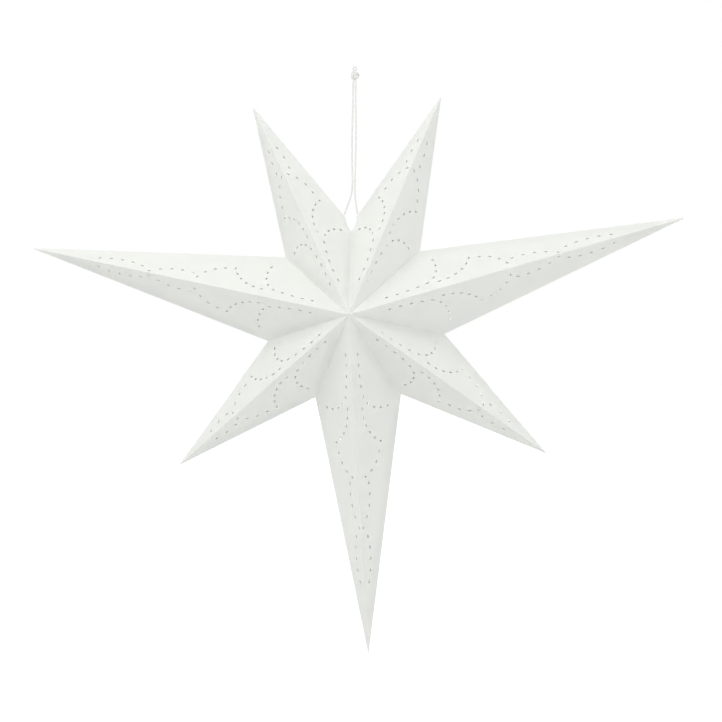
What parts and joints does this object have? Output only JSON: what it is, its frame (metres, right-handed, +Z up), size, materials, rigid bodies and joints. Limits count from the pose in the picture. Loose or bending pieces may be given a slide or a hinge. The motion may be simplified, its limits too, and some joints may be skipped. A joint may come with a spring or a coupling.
{
  "type": "folding star lantern",
  "caption": "Hanging seven-pointed star lantern of folded white card with punched scallop patterns, on a knotted string; every crease folds so that it closes flat like a fan.",
  "frame": {"origin": "centre of the hanging eye at the top of the string", "axes": "+Z up along the plumb string, the star's front faces -Y, +X is to the right seen from the front"},
  "size_m": [1.0004, 0.204, 0.8985],
  "materials": {
    "white_card": "matt, very slightly fibrous white card",
    "inner_card": "matt white card, glued inside",
    "string": "white braided cotton string"
  },
  "bodies": {
    "upper_right_front_a": {"upper_right_front_panel_a": "white_card", "upper_right_outline_flap": "inner_card", "upper_right_front_seam_hem": "inner_card", "left_strand": "string", "right_strand": "string", "hanging_knot": "string"},
    "upper_right_back_a": {"upper_right_back_panel_a": "white_card", "upper_right_back_seam_hem": "inner_card"},
    "upper_right_front_b": {"upper_right_front_panel_b": "white_card"},
    "upper_right_back_b": {"upper_right_back_panel_b": "white_card"},
    "right_front_a": {"right_front_panel_a": "white_card", "right_outline_flap": "inner_card", "right_front_valley_flap": "inner_card"},
    "right_back_a": {"right_back_panel_a": "white_card", "right_back_valley_flap": "inner_card"},
    "right_front_b": {"right_front_panel_b": "white_card"},
    "right_back_b": {"right_back_panel_b": "white_card"},
    "lower_right_front_a": {"lower_right_front_panel_a": "white_card", "lower_right_outline_flap": "inner_card", "lower_right_front_valley_flap": "inner_card"},
    "lower_right_back_a": {"lower_right_back_panel_a": "white_card", "lower_right_back_valley_flap": "inner_card"},
    "lower_right_front_b": {"lower_right_front_panel_b": "white_card"},
    "lower_right_back_b": {"lower_right_back_panel_b": "white_card"},
    "bottom_front_a": {"bottom_front_panel_a": "white_card", "bottom_outline_flap": "inner_card", "bottom_front_valley_flap": "inner_card"},
    "bottom_back_a": {"bottom_back_panel_a": "white_card", "bottom_back_valley_flap": "inner_card"},
    "bottom_front_b": {"bottom_front_panel_b": "white_card"},
    "bottom_back_b": {"bottom_back_panel_b": "white_card"},
    "lower_left_front_a": {"lower_left_front_panel_a": "white_card", "lower_left_outline_flap": "inner_card", "lower_left_front_valley_flap": "inner_card"},
    "lower_left_back_a": {"lower_left_back_panel_a": "white_card", "lower_left_back_valley_flap": "inner_card"},
    "lower_left_front_b": {"lower_left_front_panel_b": "white_card"},
    "lower_left_back_b": {"lower_left_back_panel_b": "white_card"},
    "left_front_a": {"left_front_panel_a": "white_card", "left_outline_flap": "inner_card", "left_front_valley_flap": "inner_card"},
    "left_back_a": {"left_back_panel_a": "white_card", "left_back_valley_flap": "inner_card"},
    "left_front_b": {"left_front_panel_b": "white_card"},
    "left_back_b": {"left_back_panel_b": "white_card"},
    "upper_left_front_a": {"upper_left_front_panel_a": "white_card", "upper_left_outline_flap": "inner_card", "upper_left_front_valley_flap": "inner_card"},
    "upper_left_back_a": {"upper_left_back_panel_a": "white_card", "upper_left_back_valley_flap": "inner_card"},
    "upper_left_front_b": {"upper_left_front_panel_b": "white_card", "upper_left_front_seam_hem": "inner_card"},
    "upper_left_back_b": {"upper_left_back_panel_b": "white_card", "upper_left_back_seam_hem": "inner_card"}
  },
  "joints": [
    {"name": "upper_right_ridge_fold", "type": "hinge", "parent": "upper_right_front_a", "child": "upper_right_front_b", "pos_m": [0.06598, -0.05184, -0.21228], "axis": [0.3532, 0.2807, 0.8924], "range_deg": [0, 80.89]},
    {"name": "upper_right_to_right_valley_fold", "type": "hinge", "parent": "upper_right_front_b", "child": "right_front_a", "pos_m": [0.04985, -0.0528, -0.32999], "axis": [-0.5695, -0.6018, -0.5599], "range_deg": [0, 103.99]},
    {"name": "upper_right_outline_fold_a", "type": "hinge", "parent": "upper_right_front_a", "child": "upper_right_back_a", "pos_m": [0.06305, 0, -0.14233], "axis": [0.5777, 0, 0.8163], "range_deg": [0, 78]},
    {"name": "upper_right_outline_fold_b", "type": "hinge", "parent": "upper_right_front_b", "child": "upper_right_back_b", "pos_m": [0.11599, 0, -0.16328], "axis": [-0.1374, 0, -0.9905], "range_deg": [0, 78]},
    {"name": "right_ridge_fold", "type": "hinge", "parent": "right_front_a", "child": "right_front_b", "pos_m": [0.24836, -0.05181, -0.30604], "axis": [0.9403, 0.1987, 0.2762], "range_deg": [0, 79.33]},
    {"name": "right_to_lower_right_valley_fold", "type": "hinge", "parent": "right_front_b", "child": "lower_right_front_a", "pos_m": [0.06843, -0.0528, -0.39326], "axis": [-0.7819, -0.6018, 0.1629], "range_deg": [0, 103.99]},
    {"name": "right_outline_fold_a", "type": "hinge", "parent": "right_front_a", "child": "right_back_a", "pos_m": [0.29815, 0, -0.25689], "axis": [0.9927, 0, 0.1206], "range_deg": [0, 78]},
    {"name": "right_outline_fold_b", "type": "hinge", "parent": "right_front_b", "child": "right_back_b", "pos_m": [0.31682, 0, -0.32044], "axis": [-0.9002, 0, -0.4355], "range_deg": [0, 78]},
    {"name": "lower_right_ridge_fold", "type": "hinge", "parent": "lower_right_front_a", "child": "lower_right_front_b", "pos_m": [0.14568, -0.05184, -0.48354], "axis": [0.7798, 0.2807, -0.5596], "range_deg": [0, 80.91]},
    {"name": "lower_right_to_bottom_valley_fold", "type": "hinge", "parent": "lower_right_front_b", "child": "bottom_front_a", "pos_m": [0.03542, -0.0528, -0.43927], "axis": [-0.4047, -0.6018, 0.6885], "range_deg": [0, 103.99]},
    {"name": "lower_right_outline_fold_a", "type": "hinge", "parent": "lower_right_front_a", "child": "lower_right_back_a", "pos_m": [0.21424, 0, -0.4977], "axis": [0.6513, 0, -0.7588], "range_deg": [0, 78]},
    {"name": "lower_right_outline_fold_b", "type": "hinge", "parent": "lower_right_front_b", "child": "lower_right_back_b", "pos_m": [0.18104, 0, -0.54396], "axis": [-0.9274, 0, 0.3741], "range_deg": [0, 78]},
    {"name": "bottom_ridge_fold", "type": "hinge", "parent": "bottom_front_a", "child": "bottom_front_b", "pos_m": [0.01039, -0.05181, -0.63765], "axis": [0.0393, 0.1987, -0.9793], "range_deg": [0, 79.33]},
    {"name": "bottom_to_lower_left_valley_fold", "type": "hinge", "parent": "bottom_front_b", "child": "lower_left_front_a", "pos_m": [-0.03047, -0.0528, -0.44191], "axis": [0.3481, -0.6018, 0.7188], "range_deg": [0, 103.99]},
    {"name": "bottom_outline_fold_a", "type": "hinge", "parent": "bottom_front_a", "child": "bottom_back_a", "pos_m": [0.04595, 0, -0.69789], "axis": [-0.1244, 0, -0.9922], "range_deg": [0, 78]},
    {"name": "bottom_outline_fold_b", "type": "hinge", "parent": "bottom_front_b", "child": "bottom_back_b", "pos_m": [-0.02023, 0, -0.70055], "axis": [-0.2036, 0, 0.9791], "range_deg": [0, 78]},
    {"name": "lower_left_ridge_fold", "type": "hinge", "parent": "lower_left_front_a", "child": "lower_left_front_b", "pos_m": [-0.13682, -0.05184, -0.49489], "axis": [-0.7324, 0.2807, -0.6203], "range_deg": [0, 80.91]},
    {"name": "lower_left_to_left_valley_fold", "type": "hinge", "parent": "lower_left_front_b", "child": "left_front_a", "pos_m": [-0.06707, -0.0528, -0.3987], "axis": [0.7663, -0.6018, 0.2251], "range_deg": [0, 103.99]},
    {"name": "lower_left_outline_fold_a", "type": "hinge", "parent": "lower_left_front_a", "child": "lower_left_back_a", "pos_m": [-0.16723, 0, -0.55795], "axis": [-0.8944, 0, -0.4473], "range_deg": [0, 78]},
    {"name": "lower_left_outline_fold_b", "type": "hinge", "parent": "lower_left_front_b", "child": "lower_left_back_b", "pos_m": [-0.20403, 0, -0.5145], "axis": [0.5883, 0, 0.8086], "range_deg": [0, 78]},
    {"name": "left_ridge_fold", "type": "hinge", "parent": "left_front_a", "child": "left_front_b", "pos_m": [-0.25342, -0.05181, -0.32619], "axis": [-0.9595, 0.1987, 0.1999], "range_deg": [0, 79.33]},
    {"name": "left_to_upper_left_valley_fold", "type": "hinge", "parent": "left_front_b", "child": "upper_left_front_a", "pos_m": [-0.05362, -0.0528, -0.33415], "axis": [0.6126, -0.6018, -0.5125], "range_deg": [0, 103.99]},
    {"name": "left_outline_fold_a", "type": "hinge", "parent": "left_front_a", "child": "left_back_a", "pos_m": [-0.32049, 0, -0.34604], "axis": [-0.9322, 0, 0.3619], "range_deg": [0, 78]},
    {"name": "left_outline_fold_b", "type": "hinge", "parent": "left_front_b", "child": "left_back_b", "pos_m": [-0.30698, 0, -0.2812], "axis": [0.9992, 0, -0.0406], "range_deg": [0, 78]},
    {"name": "upper_left_ridge_fold", "type": "hinge", "parent": "upper_left_front_a", "child": "upper_left_front_b", "pos_m": [-0.07914, -0.05184, -0.2181], "axis": [-0.4236, 0.2807, 0.8612], "range_deg": [0, 80.91]},
    {"name": "upper_left_outline_fold_a", "type": "hinge", "parent": "upper_left_front_a", "child": "upper_left_back_a", "pos_m": [-0.13292, 0, -0.17328], "axis": [-0.2164, 0, 0.9763], "range_deg": [0, 78]},
    {"name": "upper_left_outline_fold_b", "type": "hinge", "parent": "upper_left_front_b", "child": "upper_left_back_b", "pos_m": [-0.08183, 0, -0.14815], "axis": [0.6413, 0, -0.7673], "range_deg": [0, 78]}
  ],
  "couplings": [
    {"joint": "upper_right_to_right_valley_fold", "follows": "upper_right_ridge_fold", "ratio": 1.2852},
    {"joint": "upper_right_outline_fold_a", "follows": "upper_right_ridge_fold", "ratio": 0.96402},
    {"joint": "upper_right_outline_fold_b", "follows": "upper_right_ridge_fold", "ratio": 0.96402},
    {"joint": "right_ridge_fold", "follows": "upper_right_ridge_fold", "ratio": 0.98042},
    {"joint": "right_to_lower_right_valley_fold", "follows": "upper_right_ridge_fold", "ratio": 1.2852},
    {"joint": "right_outline_fold_a", "follows": "upper_right_ridge_fold", "ratio": 0.96402},
    {"joint": "right_outline_fold_b", "follows": "upper_right_ridge_fold", "ratio": 0.96402},
    {"joint": "lower_right_ridge_fold", "follows": "upper_right_ridge_fold", "ratio": 1},
    {"joint": "lower_right_to_bottom_valley_fold", "follows": "upper_right_ridge_fold", "ratio": 1.2852},
    {"joint": "lower_right_outline_fold_a", "follows": "upper_right_ridge_fold", "ratio": 0.96402},
    {"joint": "lower_right_outline_fold_b", "follows": "upper_right_ridge_fold", "ratio": 0.96402},
    {"joint": "bottom_ridge_fold", "follows": "upper_right_ridge_fold", "ratio": 0.98042},
    {"joint": "bottom_to_lower_left_valley_fold", "follows": "upper_right_ridge_fold", "ratio": 1.2852},
    {"joint": "bottom_outline_fold_a", "follows": "upper_right_ridge_fold", "ratio": 0.96402},
    {"joint": "bottom_outline_fold_b", "follows": "upper_right_ridge_fold", "ratio": 0.96402},
    {"joint": "lower_left_ridge_fold", "follows": "upper_right_ridge_fold", "ratio": 1},
    {"joint": "lower_left_to_left_valley_fold", "follows": "upper_right_ridge_fold", "ratio": 1.2852},
    {"joint": "lower_left_outline_fold_a", "follows": "upper_right_ridge_fold", "ratio": 0.96402},
    {"joint": "lower_left_outline_fold_b", "follows": "upper_right_ridge_fold", "ratio": 0.96402},
    {"joint": "left_ridge_fold", "follows": "upper_right_ridge_fold", "ratio": 0.98042},
    {"joint": "left_to_upper_left_valley_fold", "follows": "upper_right_ridge_fold", "ratio": 1.2852},
    {"joint": "left_outline_fold_a", "follows": "upper_right_ridge_fold", "ratio": 0.96402},
    {"joint": "left_outline_fold_b", "follows": "upper_right_ridge_fold", "ratio": 0.96402},
    {"joint": "upper_left_ridge_fold", "follows": "upper_right_ridge_fold", "ratio": 1},
    {"joint": "upper_left_outline_fold_a", "follows": "upper_right_ridge_fold", "ratio": 0.96402},
    {"joint": "upper_left_outline_fold_b", "follows": "upper_right_ridge_fold", "ratio": 0.96402}
  ]
}
